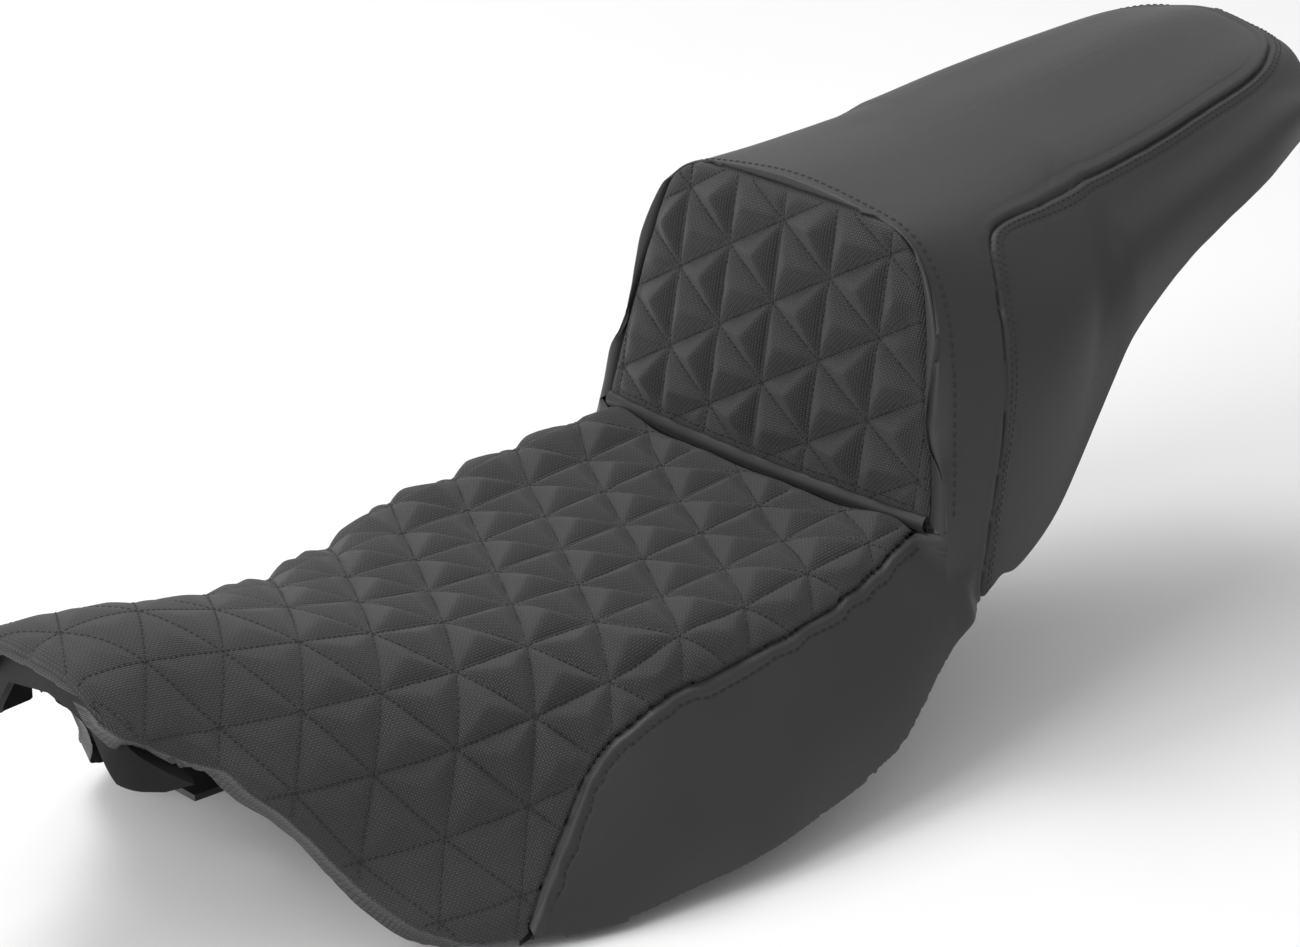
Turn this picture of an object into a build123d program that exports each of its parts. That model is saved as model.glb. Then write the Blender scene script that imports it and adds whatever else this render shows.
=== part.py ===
from build123d import *
from functools import cache
from math import cos, hypot, radians, tan
import os

os.makedirs("parts", exist_ok=True)

# Two-up step seat. Units are millimetres.
# While it is drawn, the origin is the foot of the backrest on the centre plane:
# +X is the seat's left, -Y the nose, +Y the tail, +Z up. Every part is shifted
# at the end so that the origin is the hole in the rear mounting tab.

# ---- layers, measured inwards from the outside of the cover ----
COVER_T = 2.5        # sewn vinyl
LINER_T = 3.5        # scrim foam behind the vinyl
GAP = 0.5            # clearance between neighbouring layers
LINER_IN = COVER_T + GAP
FOAM_IN = LINER_IN + LINER_T + GAP
SEAM_GAP = 1.0       # groove where two cover panels meet

# ---- gel pads: centre of the pocket floor, its tilt, width and length ----
RIDER_GEL = ((0, -130, -70), 0, 170, 180)
PASSENGER_GEL = ((0, 165, 94), 7.4, 104, 170)
GEL_R = 28.0

# ---- baseplate ----
BASE_T = 4.0
BASE_EDGE_IN = 9.0   # baseplate edge to the outside of the cover
NOSE_WALL_T = 4.0    # upright front edge of the pan, with the two lobes

# ---- backrest ----
LEAN = 10.0          # degrees, backwards
BACK_SLOPE = tan(radians(LEAN))
BACK_BOW_R = 800.0   # the backrest bows forwards in plan on this radius

# ---- rear tab; the centre of its hole becomes the origin ----
TAB_HOLE_Y = 347.0
TAB_HOLE_Z = 70.0
TAB_HOLE_R = 4.5
TAB_W = 34.0
TAB_T = 3.0
TAB_FRONT_Y = 250.0
TAB_REAR_Y = 366.0

# ---- front tongue ----
TONGUE_W = 44.0
TONGUE_T = 3.0
TONGUE_REAR_Y = -232.0
TONGUE_BEND_Y = -290.0
TONGUE_TIP_Y = -352.0
TONGUE_DROP = 14.0

# ---- fasteners and small parts ----
RIVET_R = 2.4
RIVET_HEAD_R = 5.0
RIVET_HEAD_T = 2.0
WASHER_R = 7.0
WASHER_T = 1.0
BUMPER_R = 12.0
BUMPER_T = 9.0
BUMPER_SEAT = 1.3     # the flat foot's clearance under the curved pan
STEM_R = 3.0
TUCK_W = 22.0        # turned-under margin of the cover
TUCK_EDGE_IN = 13.0  # margin's outer edge to the outside of the cover
TUCK_T = 1.5
STAPLE = (1.4, 11.0, 0.8)
STAPLE_STEP = 35
DEEP = 30.0          # how far bodies are drawn below the underside before it is cut
CARPET_T = 2.5

# Rails: (station y, half-width, height) of lines that run along the seat. A
# cross-section at any station is a smooth curve through one point of each rail.
RIDER_RAILS = {
    "spine": [(-428, 0, -14), (-400, 0, -9), (-366, 0, -12), (-325, 0, -23), (-270, 0, -37), (-209, 0, -48),
              (-128, 0, -50), (-50, 0, -46), (0, 0, -40), (30, 0, -38)],
    "line_1": [(-428, 38, -20), (-400, 37, -19), (-350, 33, -25), (-300, 35, -34), (-231, 36, -46),
               (-149, 36, -51), (-70, 36, -47), (0, 35, -40), (30, 35, -38)],
    "line_2": [(-428, 54, -36), (-400, 56, -41), (-366, 59, -50), (-327, 64, -53), (-270, 68, -54),
               (-200, 71, -53), (-131, 71, -52), (-50, 70, -46), (0, 68, -41), (30, 67, -39)],
    "line_3": [(-428, 74, -62), (-400, 77, -68), (-370, 82, -77), (-347, 85, -82), (-310, 87, -84),
               (-265, 95, -79), (-192, 102, -66), (-130, 106, -56), (-70, 105, -47), (0, 105, -41),
               (20, 104, -40)],
    "line_4": [(-428, 94, -96), (-400, 96, -102), (-370, 99, -110), (-331, 104, -116), (-292, 111, -114),
               (-252, 118, -107), (-213, 124, -95), (-160, 129, -83), (-100, 129, -73), (-50, 126, -65),
               (0, 121, -56), (20, 119, -56)],
    "flank": [(-428, 118, -124), (-400, 120, -128), (-331, 129, -137), (-285, 134, -138),
              (-245, 142, -133), (-200, 151, -122), (-140, 153, -112), (-80, 148, -102), (-30, 139, -84),
              (0, 132, -72), (20, 130, -68)],
    "hem": [(-428, 128, -158), (-400, 130, -160), (-331, 136, -158), (-293, 140, -150), (-265, 147, -152),
            (-218, 158, -150), (-150, 162, -142), (-82, 157, -132), (-50, 150, -124), (-34, 146, -113),
            (-17, 142, -100), (0, 138, -88), (20, 135, -81)],
}
PASSENGER_RAILS = {
    "spine": [(-40, 0, 96), (25, 0, 100), (95, 0, 103), (150, 0, 109), (200, 0, 116), (250, 0, 123),
              (300, 0, 127), (330, 0, 124)],
    "crown": [(-40, 43, 92), (25, 43, 96), (95, 43, 99), (150, 42, 105), (200, 40, 111), (250, 38, 118),
              (300, 34, 122), (330, 30, 119)],
    "edge": [(-40, 71, 83), (5, 73, 86), (25, 77, 87), (45, 80, 86), (95, 80, 87), (150, 78, 94),
             (200, 75, 101), (250, 67, 109), (300, 58, 115), (330, 50, 114)],
    "brow": [(-40, 89, 66), (5, 91, 68), (25, 95, 69), (45, 100, 68), (95, 98, 70), (150, 93, 80),
             (200, 88, 88), (250, 81, 97), (300, 73, 103), (330, 67, 103)],
    "wall": [(-40, 101, 38), (5, 103, 38), (25, 109, 38), (45, 117, 36), (95, 115, 50), (150, 109, 66),
             (200, 102, 78), (250, 94, 88), (300, 84, 96), (330, 78, 97)],
    "flank": [(-40, 116, -14), (5, 118, -16), (25, 122, -17), (45, 125, -17), (80, 124, -5), (112, 120, 20),
              (127, 118, 36), (162, 112, 51), (200, 106, 64), (250, 98, 78), (300, 85, 88), (330, 80, 91)],
    "hem": [(-40, 138, -113), (0, 137, -88), (17, 134, -81), (48, 130, -73), (64, 128, -67), (81, 125, -58),
            (97, 122, -42), (112, 120, -14), (127, 118, 12), (144, 115, 22), (179, 109, 43), (213, 104, 57),
            (249, 98, 68), (294, 86, 79), (330, 80, 84)],
}
# Underside: (station y, height on the centre plane, drop 100 mm out from it).
UNDERSIDE = [(-445, -33, 8), (-400, -36, 12), (-378, -42, 28), (-364, -47, 45), (-347, -54, 60), (-335, -60, 62),
             (-322, -67, 52), (-310, -74, 42), (-293, -83, 34), (-257, -94, 26), (-218, -103, 19), (-150, -108, 13),
             (-82, -103, 12), (-50, -98, 11), (-34, -93, 9), (-17, -88, 6), (0, -82, 4), (33, -69, 5),
             (64, -55, 7.5), (81, -40, 11.5), (97, -17, 16.5), (112, 12, 17), (127, 30, 14), (144, 42, 14),
             (179, 58, 12.6), (213, 69, 11.3), (249, 79, 11.5), (294, 87.5, 10.6), (350, 92, 10.6)]
UNDERSIDE_STATIONS = [-440 + 12 * i for i in range(66)]
RIDER_STATIONS = [-428, -395, -362, -330, -300, -265, -220, -170, -110, -70, -48, -32, -16, 0, 15]
PASSENGER_STATIONS = [-40, 0, 30, 66, 98, 127, 150, 180, 220, 260, 300, 330]

# Plan outline, left side from nose to tail, with the radius of each end corner.
PLAN = [(56, -423), (80, -368), (230, -320), (230, 170), (117, 205), (87, 326)]
NOSE_R = 26.0
TAIL_R = 58.0

# ---- seams, drawn in side view (y, z) ----
SEAT_SEAM = [(-284, -180), (-273, -152), (-256, -132), (-237, -114), (-208, -89), (-173, -76),
             (-122, -68), (-76, -62), (-37, -53), (-4, -44)]
# Front view of the nose: edge of the fabric, and the wall of the pan (half outlines, x and z).
NOSE_HEM = [(0, -22), (42, -24), (60, -40), (70, -49), (78, -56), (110, -62), (110, -120), (0, -120)]
CORNER_HEM = [(0, -42), (56, -42), (64, -48), (70, -52), (78, -57), (110, -62), (110, -120), (0, -120)]
NOSE_WALL = [(0, -16), (42, -18), (60, -34), (74, -47), (76, -55), (70, -64), (58, -68), (46, -63),
             (37, -51), (30, -41), (0, -36)]
# Lower edge of the nose and of the skirts behind it, in side view.
SKIRT_EDGE = [(-440, -62), (-395, -62), (-378, -64), (-363, -74), (-347, -93), (-334, -113), (-319, -132),
              (-300, -143), (-275, -153)]
# Seam round the passenger side panels, in side view.
PANEL_SEAM = [(20, -110), (35, -40), (48, 17), (55, 56), (64, 75), (77, 88), (94, 108), (102, 125)]
# Run of the same seam along the passenger top, in plan (half-width, y).
TOP_SEAM = [(85, -60), (85, 60), (82, 95), (80, 150), (77, 200), (70, 250), (59, 296), (39, 320), (20, 324)]
MIRROR_X = (1, -1)
# Half outline of the backrest panel, square to it: (half-width, height up the backrest).
BACK_PANEL = [(114, -37), (112, -22), (103, 22), (93, 64), (85, 84), (75, 94), (60, 97)]


def at(rail, y, column):
    """Value of a rail at station y: a smooth curve through its points."""
    n = len(rail)
    k = sum(1 for p in rail[1:-1] if p[0] <= y)
    slopes = []
    for i in (k, k + 1):
        lo, hi = rail[max(i - 1, 0)], rail[min(i + 1, n - 1)]
        slopes.append((hi[column] - lo[column]) / (hi[0] - lo[0]))
    a, b = rail[k], rail[k + 1]
    step = b[0] - a[0]
    t = (y - a[0]) / step
    near = (2 * t**3 - 3 * t**2 + 1) * a[column] + (t**3 - 2 * t**2 + t) * step * slopes[0]
    far = (3 * t**2 - 2 * t**3) * b[column] + (t**3 - t**2) * step * slopes[1]
    return near + far


def hem_at(y):
    """Half-width and height of the lower edge at station y, rider or passenger side."""
    rail = (RIDER_RAILS if y <= 15 else PASSENGER_RAILS)["hem"]
    return at(rail, y, 1), at(rail, y, 2)


def underside(y, x):
    """Height of the underside: a parabola across the seat at every station."""
    return at(UNDERSIDE, y, 1) - at(UNDERSIDE, y, 2) * (x / 100) ** 2


def half_section(rails, y, inset):
    """One side of a cross-section from spine to hem, moved inwards by inset."""
    points = [(at(rail, y, 1), at(rail, y, 2)) for rail in rails.values()]
    moved = [(0, points[0][1] - inset)]
    for i in range(1, len(points)):
        before, after = points[i - 1], points[min(i + 1, len(points) - 1)]
        dx, dz = after[0] - before[0], after[1] - before[1]
        length = hypot(dx, dz)
        moved.append((points[i][0] + inset * dz / length, points[i][1] - inset * dx / length))
    return moved


def section(rails, y, inset):
    """Closed cross-section that runs DEEP below the underside, to be cut back later."""
    half = half_section(rails, y, inset)
    edge_x = half[-1][0]
    edge_z = half[-1][1] - DEEP
    half[-1] = (edge_x, edge_z)
    left = [(-x, y, z) for x, z in reversed(half[1:])]
    over = Spline(*left, *[(x, y, z) for x, z in half])
    floor = Line((edge_x, y, edge_z), (-edge_x, y, edge_z))
    return Wire([over.edge(), floor.edge()])


def plan_prism(inset):
    """Upright prism on the plan outline moved inwards by inset."""
    outline = [*PLAN, *[(-x, y) for x, y in reversed(PLAN)]]
    face = make_face(Polyline(*outline, close=True))
    corners = face.vertices().sort_by(Axis.Y)
    face = fillet(corners[:2], NOSE_R)
    face = fillet(face.vertices().sort_by(Axis.Y)[-2:], TAIL_R)
    if inset:
        face = offset(face, amount=-inset)
    return extrude(face, amount=300, dir=(0, 0, 1), both=True)


def side_prism(curve, corners, half_width=250):
    """Region drawn in side view, bounded by a smooth curve and straight sides."""
    seam = Spline(*[(0, y, z) for y, z in curve])
    ends = [curve[-1], *corners, curve[0]]
    sides = Polyline(*[(0, y, z) for y, z in ends])
    return extrude(make_face([seam, sides]), amount=half_width, dir=(1, 0, 0), both=True)


def ahead_of_backrest(shift):
    """Everything in front of the backrest face moved back by shift."""
    reach = 250
    ends_y = shift + BACK_BOW_R - (BACK_BOW_R**2 - reach**2) ** 0.5
    bow = ThreePointArc((-reach, ends_y, 0), (0, shift, 0), (reach, ends_y, 0))
    front = Polyline((reach, ends_y, 0), (reach, -600, 0), (-reach, -600, 0), (-reach, ends_y, 0))
    return extrude(make_face([bow, front]), amount=400, dir=(0, BACK_SLOPE, 1), both=True)


def floor_section(y):
    """Section of the space under the seat, its roof the underside."""
    reach = 175
    crown = at(UNDERSIDE, y, 1)
    edge = underside(y, reach)
    roof = Bezier((reach, y, edge), (0, y, 2 * crown - edge), (-reach, y, edge))
    walls = Polyline((-reach, y, edge), (-reach, y, -420), (reach, y, -420), (reach, y, edge))
    return Wire([roof.edge(), *walls.edges()])


@cache
def space_below(lift):
    """Everything below the underside moved up by lift."""
    return Pos(0, 0, lift) * Solid.make_loft([floor_section(y) for y in UNDERSIDE_STATIONS])


@cache
def space_below_skirt():
    """Everything below the edge of the nose and its skirts."""
    return side_prism(SKIRT_EDGE, [(-275, -400), (-440, -400)])


@cache
def rider_body(inset):
    """Rider half, nose to just behind the foot of the backrest, not yet cut underneath."""
    wires = [section(RIDER_RAILS, y, inset) for y in RIDER_STATIONS]
    return Solid.make_loft(wires) & plan_prism(inset)


@cache
def passenger_body(inset):
    """Passenger half, backrest plane to tail, not yet cut underneath."""
    wires = [section(PASSENGER_RAILS, y, inset) for y in PASSENGER_STATIONS]
    body = Solid.make_loft(wires) & plan_prism(inset)
    return body - ahead_of_backrest(inset / cos(radians(LEAN)))


def layer(outer_in, inner_in):
    """Shell between two depths below the outside, open at the bottom."""
    outer = rider_body(outer_in) + passenger_body(outer_in)
    inner = rider_body(inner_in) + passenger_body(inner_in)
    shell = outer - inner - space_below(0) - space_below_skirt()
    return shell - front_view_prism(NOSE_HEM, -430, -411) - front_view_prism(CORNER_HEM, -411, -384)


def back_layer(outer_in, inner_in):
    """Part of the shell behind the quilted backrest panel."""
    return (passenger_body(outer_in) - passenger_body(inner_in)) & back_zone(0)


def seat_zone(shift):
    """Side-view region of the quilted seat panel, its seam moved down by shift."""
    curve = [(y + shift, z - shift) for y, z in SEAT_SEAM]
    zone = side_prism(curve, [(60, curve[-1][1]), (60, 90), (-500, 90), (-500, curve[0][1])])
    return zone & ahead_of_backrest(shift / 4)


def side_zone(shift):
    """Region of the passenger side panels, its seam moved out by shift."""
    curve = [(y - shift, z + shift) for y, z in PANEL_SEAM]
    behind = side_prism(curve, [(500, curve[-1][1]), (500, -250), (curve[0][0], -250)])
    run = [(x - shift, y - shift) for x, y in TOP_SEAM]
    top = Spline(*[(x, y, 0) for x, y in run])
    other = Spline(*[(-x, y, 0) for x, y in run])
    ends = [Line((x, y, 0), (-x, y, 0)) for x, y in (run[0], run[-1])]
    middle = extrude(make_face([top, other, *ends]), amount=300, dir=(0, 0, 1), both=True)
    return behind - middle


def back_zone(grow):
    """Block square to the backrest on the outline of its quilted panel."""
    half = [(x + grow, z + (grow if z > 0 else -grow)) for x, z in BACK_PANEL]
    curve = Spline(*[(x, 0, z) for x, z in half[:-1]], (half[-1][0], 0, half[-1][1]))
    other = Spline(*[(-x, 0, z) for x, z in half])
    top = Line((half[-1][0], 0, half[-1][1]), (-half[-1][0], 0, half[-1][1]))
    foot = Line((half[0][0], 0, half[0][1]), (-half[0][0], 0, half[0][1]))
    block = extrude(make_face([curve, other, top, foot]), amount=9, dir=(0, 1, 0), both=True)
    return Rot(-LEAN, 0, 0) * Pos(0, 5, 0) * block


def largest(shape, count=1):
    """The largest solids of a shape, leaving out slivers."""
    solids = shape.solids().sort_by(SortBy.VOLUME)[-count:]
    return solids[0] if count == 1 else Compound(children=solids)


def cover_panels():
    """The five sewn vinyl panels."""
    skin = layer(0, COVER_T)
    seat = skin & seat_zone(0)
    sides = skin & side_zone(0)
    main = skin - seat_zone(SEAM_GAP) - back_zone(SEAM_GAP) - side_zone(SEAM_GAP)
    left = sides & Pos(300, 0, 0) * Box(600, 2000, 2000)
    right = sides & Pos(-300, 0, 0) * Box(600, 2000, 2000)
    return {
        "seat_quilt_cover": largest(seat),
        "backrest_quilt_cover": largest(back_layer(0, COVER_T)),
        "main_cover": largest(main),
        "side_panel_left": largest(left),
        "side_panel_right": largest(right),
    }


def under_plane(x, y, lift):
    """Plane lying on the underside at (x, y), its normal up, moved up by lift."""
    z = underside(y, x)
    slope_x = (underside(y, x + 1) - underside(y, x - 1)) / 2
    slope_y = (underside(y + 1, x) - underside(y - 1, x)) / 2
    plane = Plane(origin=(x, y, z), x_dir=(1, 0, slope_x), z_dir=(-slope_x, -slope_y, 1))
    return plane.offset(lift)


def at_underside(shape, x, y, lift=0.0):
    """Place a shape drawn on the XY plane onto the underside."""
    return under_plane(x, y, lift).location * shape


def disc(radius, thick):
    """Upright disc whose lower face is on the XY plane."""
    return Cylinder(radius, thick, align=(Align.CENTER, Align.CENTER, Align.MIN))


def strip(y_from, y_to, x_from, x_to, low, high):
    """Block in plan between two heights relative to the underside."""
    block = Pos((x_from + x_to) / 2, (y_from + y_to) / 2, 0) * Box(x_to - x_from, y_to - y_from, 900)
    return (block - space_below(low)) & space_below(high)


BUMPERS = [(side * x, y) for x, y in ((72, -262), (96, -120), (50, 205)) for side in MIRROR_X]
TONGUE_RIVETS = [(0, -244), (-13, -268), (13, -268)]
TAB_RIVETS = [(0, 262), (0, 284)]
RIVETS = TONGUE_RIVETS + TAB_RIVETS


def rivet_holes(radius, low, high):
    """Cylinders on every rivet axis between two heights relative to the underside."""
    tool = disc(radius, high - low)
    return Compound(children=[at_underside(tool, x, y, low) for x, y in RIVETS])


def stem_holes(radius, low, high):
    """Cylinders on every bumper axis between two heights relative to the underside."""
    tool = disc(radius, high - low)
    return Compound(children=[at_underside(tool, x, y, low) for x, y in BUMPERS])


def front_view_prism(points, y_from, y_to):
    """Mirrored region drawn in front view (x, z), carried from one station to another."""
    outline = [*points, *[(-x, z) for x, z in reversed(points) if x]]
    face = make_face(Polyline(*[(x, y_from, z) for x, z in outline], close=True))
    return extrude(face, amount=y_to - y_from, dir=(0, 1, 0))


def nose_wall():
    """Upright front edge of the pan, hanging below the fabric as two rounded lobes."""
    ring = plan_prism(BASE_EDGE_IN) - plan_prism(BASE_EDGE_IN + NOSE_WALL_T)
    return front_view_prism(NOSE_WALL, -430, -384) & ring & rider_body(BASE_EDGE_IN)


def baseplate():
    """Moulded pan with its two nose lobes, rivet holes and bumper holes."""
    inside = rider_body(BASE_EDGE_IN) + passenger_body(BASE_EDGE_IN)
    pan = largest((inside - space_below(0)) & space_below(BASE_T) - space_below_skirt()) + nose_wall()
    pan = pan - rivet_holes(RIVET_R + 0.1, -20, 20) - stem_holes(STEM_R + 0.1, -20, 20)
    return largest(pan)


def gel_space(place, tilt, width, length, grow):
    """Rounded upright prism above a tilted floor: the room one gel pad takes up."""
    x, y, z = place
    outline = RectangleRounded(width + 2 * grow, length + 2 * grow, GEL_R + grow)
    prism = extrude(Pos(0, y, 0) * outline, amount=300, dir=(0, 0, 1), both=True)
    above = Pos(x, y, z - grow) * Rot(tilt, 0, 0) * Pos(0, 0, 450) * Box(900, 900, 900)
    return prism & above


def foams():
    """Rider and passenger foam, with pockets for the gel pads and the fastener heads."""
    floor = space_below(BASE_T + GAP)
    pockets = rivet_holes(WASHER_R + 1, 0, BASE_T + 7) + stem_holes(STEM_R + 3, 0, BASE_T + 7)
    rider = rider_body(FOAM_IN) & ahead_of_backrest(FOAM_IN - 1)
    rider = rider & plan_prism(BASE_EDGE_IN + NOSE_WALL_T + GAP)
    rider = rider - floor - space_below_skirt() - gel_space(*RIDER_GEL, GAP) - pockets
    passenger = passenger_body(FOAM_IN) - floor - gel_space(*PASSENGER_GEL, GAP) - pockets
    return largest(rider), largest(passenger)


def gel_pads():
    """Gel pads let into the top of each foam."""
    rider = gel_space(*RIDER_GEL, 0) & rider_body(FOAM_IN)
    passenger = gel_space(*PASSENGER_GEL, 0) & passenger_body(FOAM_IN)
    return largest(rider), largest(passenger)


def liners():
    """Scrim foam behind each cover panel."""
    skin = layer(LINER_IN, LINER_IN + LINER_T)
    rest = skin - seat_zone(SEAM_GAP) - back_zone(SEAM_GAP)
    return largest(skin & seat_zone(0)), largest(back_layer(LINER_IN, LINER_IN + LINER_T)), largest(rest)


def tuck_margin(side):
    """The cover's turned-under margin along one side of the pan."""
    outer = [(side * (hem_at(y)[0] - TUCK_EDGE_IN), y, 0) for y in range(-270, 291, 40)]
    inner = [(x - side * TUCK_W, y, z) for x, y, z in outer]
    ends = [Line(outer[i], inner[i]) for i in (0, -1)]
    band = make_face([Spline(*outer), Spline(*inner), *ends])
    prism = extrude(band, amount=300, dir=(0, 0, 1), both=True)
    return (prism - space_below(-GAP - TUCK_T)) & space_below(-GAP)


def nose_margin():
    """The cover's turned-under margin across the nose."""
    inner = plan_prism(BASE_EDGE_IN + NOSE_WALL_T + 2)
    return strip(-404, -384, -46, 46, -GAP - TUCK_T, -GAP) & inner


def staples():
    """Staples through the margins, all alike."""
    legs = Box(*STAPLE, align=(Align.CENTER, Align.CENTER, Align.MAX))
    lift = -GAP - TUCK_T - 0.3
    sides = [
        at_underside(legs, side * (hem_at(y)[0] - TUCK_EDGE_IN - TUCK_W / 2), y, lift)
        for side in MIRROR_X
        for y in range(-245, 281, STAPLE_STEP)
    ]
    front = [at_underside(legs, x, -394, lift) for x in range(-36, 37, 18)]
    return Compound(children=sides + front)


def carpets():
    """Felt pads that keep the pan off the paint, front and rear."""
    front = strip(-220, -40, -56, 56, -GAP - CARPET_T, -GAP)
    rear = strip(150, 240, -32, 32, -GAP - CARPET_T, -GAP)
    return front, rear


def bumpers():
    """Rubber bumpers, each with a stem pushed through the pan."""
    foot = Pos(0, 0, -BUMPER_T) * disc(BUMPER_R, BUMPER_T)
    foot = fillet(foot.edges().sort_by(Axis.Z)[0], 2)
    stem = disc(STEM_R, BASE_T + 4)
    barb = Pos(0, 0, BASE_T + 1.6) * disc(STEM_R + 1.5, 2.2)
    one = foot + stem + barb
    return Compound(children=[at_underside(one, x, y, -BUMPER_SEAT) for x, y in BUMPERS])


def rivet(plate_t):
    """Rivet through a bracket, the pan and a washer, a head at each end."""
    low = -GAP - plate_t - 0.15
    high = BASE_T + WASHER_T + 0.45
    shank = Pos(0, 0, low) * disc(RIVET_R, high - low)
    head = Pos(0, 0, low - RIVET_HEAD_T) * disc(RIVET_HEAD_R, RIVET_HEAD_T)
    tail = Pos(0, 0, high) * disc(RIVET_HEAD_R - 1, RIVET_HEAD_T - 0.5)
    return shank + head + tail


def rivets(places, plate_t):
    """All the rivets of one bracket."""
    return Compound(children=[at_underside(rivet(plate_t), x, y) for x, y in places])


def washers():
    """Load-spreading washers on the top of the pan."""
    ring = disc(WASHER_R, WASHER_T) - disc(RIVET_R + 0.2, WASHER_T)
    return Compound(children=[at_underside(ring, x, y, BASE_T + 0.25) for x, y in RIVETS])


def bent_plate(path, thick, width):
    """Plate bent to a side-view path (y, z) along its top, drawn with an upright thickness."""
    low = [(y, z - thick) for y, z in reversed(path)]
    face = make_face(Polyline(*[(0, y, z) for y, z in (*path, *low)], close=True))
    return extrude(face, amount=width / 2, dir=(1, 0, 0), both=True)


def front_tongue():
    """Pressed steel tongue: a pad shaped to the pan, a joggle and a flat tip."""
    pad = strip(TONGUE_BEND_Y, TONGUE_REAR_Y, -TONGUE_W / 2, TONGUE_W / 2, -GAP - TONGUE_T, -GAP)
    top = underside(TONGUE_BEND_Y, 0) - GAP - 0.6
    low = top - TONGUE_DROP
    path = [(TONGUE_TIP_Y, low), (TONGUE_BEND_Y - 16, low), (TONGUE_BEND_Y + 4, top - 1.2)]
    tip = bent_plate(path, TONGUE_T, TONGUE_W - 12)
    holes = rivet_holes(RIVET_R + 0.1, -20, 20)
    return largest(pad + tip - holes)


def rear_tab():
    """Pressed steel tab: a pad shaped to the pan, a joggle and a tip with the screw hole."""
    pad = strip(TAB_FRONT_Y, 298, -TAB_W / 2, TAB_W / 2, -GAP - TAB_T, -GAP)
    top = underside(298, 0) - GAP
    flat = TAB_HOLE_Z + TAB_T / 2
    path = [(292, top - 0.8), (298, top - 0.4), (322, flat), (TAB_REAR_Y, flat)]
    tip = bent_plate(path, TAB_T, TAB_W)
    ends = tip.edges().filter_by(Axis.Z).sort_by(Axis.Y)[-2:]
    tip = fillet(ends, 12)
    hole = Pos(0, TAB_HOLE_Y, TAB_HOLE_Z) * Cylinder(TAB_HOLE_R, 20)
    return largest(pad + tip - hole - rivet_holes(RIVET_R + 0.1, -20, 20))


def sound(part):
    """The part with any loose edge tolerances tightened."""
    return part if part.is_valid else part.fix()


def emit(parts):
    """Shift every part to the tab-hole origin and write it."""
    for name, part in parts.items():
        export_step(Pos(0, -TAB_HOLE_Y, -TAB_HOLE_Z) * sound(part), f"parts/{name}.step")


def assembly():
    """Every part of the seat by name."""
    parts = cover_panels()
    parts["baseplate"] = baseplate()
    parts["rider_foam"], parts["passenger_foam"] = foams()
    parts["rider_gel_pad"], parts["passenger_gel_pad"] = gel_pads()
    parts["seat_quilt_foam"], parts["backrest_quilt_foam"], parts["main_liner"] = liners()
    parts["tuck_margin_left"], parts["tuck_margin_right"] = (tuck_margin(side) for side in MIRROR_X)
    parts["tuck_margin_nose"] = nose_margin()
    parts["staples"] = staples()
    parts["carpet_front"], parts["carpet_rear"] = carpets()
    parts["bumpers"] = bumpers()
    parts["front_tongue"] = front_tongue()
    parts["rear_tab"] = rear_tab()
    parts["tongue_rivets"] = rivets(TONGUE_RIVETS, TONGUE_T)
    parts["tab_rivets"] = rivets(TAB_RIVETS, TAB_T)
    parts["rivet_washers"] = washers()
    return parts


emit(assembly())
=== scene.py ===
import bpy
import numpy as np
from math import cos, pi, radians, sin, tan
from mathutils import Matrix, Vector
from mathutils.bvhtree import BVHTree


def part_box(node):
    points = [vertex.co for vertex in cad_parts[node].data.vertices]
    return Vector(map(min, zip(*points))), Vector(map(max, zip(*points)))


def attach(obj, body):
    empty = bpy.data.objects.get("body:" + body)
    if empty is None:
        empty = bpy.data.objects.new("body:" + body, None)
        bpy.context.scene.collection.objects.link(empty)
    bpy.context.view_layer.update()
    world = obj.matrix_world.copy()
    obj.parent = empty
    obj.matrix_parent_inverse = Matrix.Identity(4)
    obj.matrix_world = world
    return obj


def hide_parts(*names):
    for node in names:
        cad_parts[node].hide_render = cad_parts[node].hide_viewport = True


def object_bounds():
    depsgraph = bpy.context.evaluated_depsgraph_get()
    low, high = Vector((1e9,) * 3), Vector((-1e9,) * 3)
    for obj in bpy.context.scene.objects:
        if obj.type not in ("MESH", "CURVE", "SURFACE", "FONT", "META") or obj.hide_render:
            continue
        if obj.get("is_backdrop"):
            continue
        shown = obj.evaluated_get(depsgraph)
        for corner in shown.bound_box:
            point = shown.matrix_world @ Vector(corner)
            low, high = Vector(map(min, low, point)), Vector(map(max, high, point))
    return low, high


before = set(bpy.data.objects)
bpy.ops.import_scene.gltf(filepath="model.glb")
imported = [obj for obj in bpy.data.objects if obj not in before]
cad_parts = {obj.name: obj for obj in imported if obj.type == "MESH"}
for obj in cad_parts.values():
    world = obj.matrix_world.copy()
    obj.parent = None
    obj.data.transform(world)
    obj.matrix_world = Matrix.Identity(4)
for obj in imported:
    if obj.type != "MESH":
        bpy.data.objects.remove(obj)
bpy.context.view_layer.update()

# ---- driving sizes, in metres ----
LEAN = radians(10)           # backrest, backwards
BOW = 0.63                   # backrest bow in plan: back by BOW * x * x
PANEL_DROP = 0.0383          # lowest point of the backrest panel below the foot line
PANEL_LEAD = 0.0064          # the same point's distance ahead of it
STITCH_LINE_X = 0.035        # spacing of the lengthwise stitch lines
SEAT_ROW = 0.0399            # seat: two crossings along one lengthwise line
BACK_ROW = 0.0404            # the same on the backrest
SEAT_ROW_START = -0.007      # station of the seat's first crossing
PUFF_SEAT = 0.0062           # padding of a seat cell, from its stitches to its middle
PUFF_BACK = 0.0078           # the same on the backrest
THIN_NOSE = 0.20             # share of the padding left at the nose
NOSE_FADE = (-0.37, -0.20)   # stations between which the padding grows to full
SKIRT_LOSS = 0.72            # share of the padding lost on the side skirts
SKIRT_FADE = (0.105, 0.165)  # distances from the centre line between which it is lost
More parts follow.
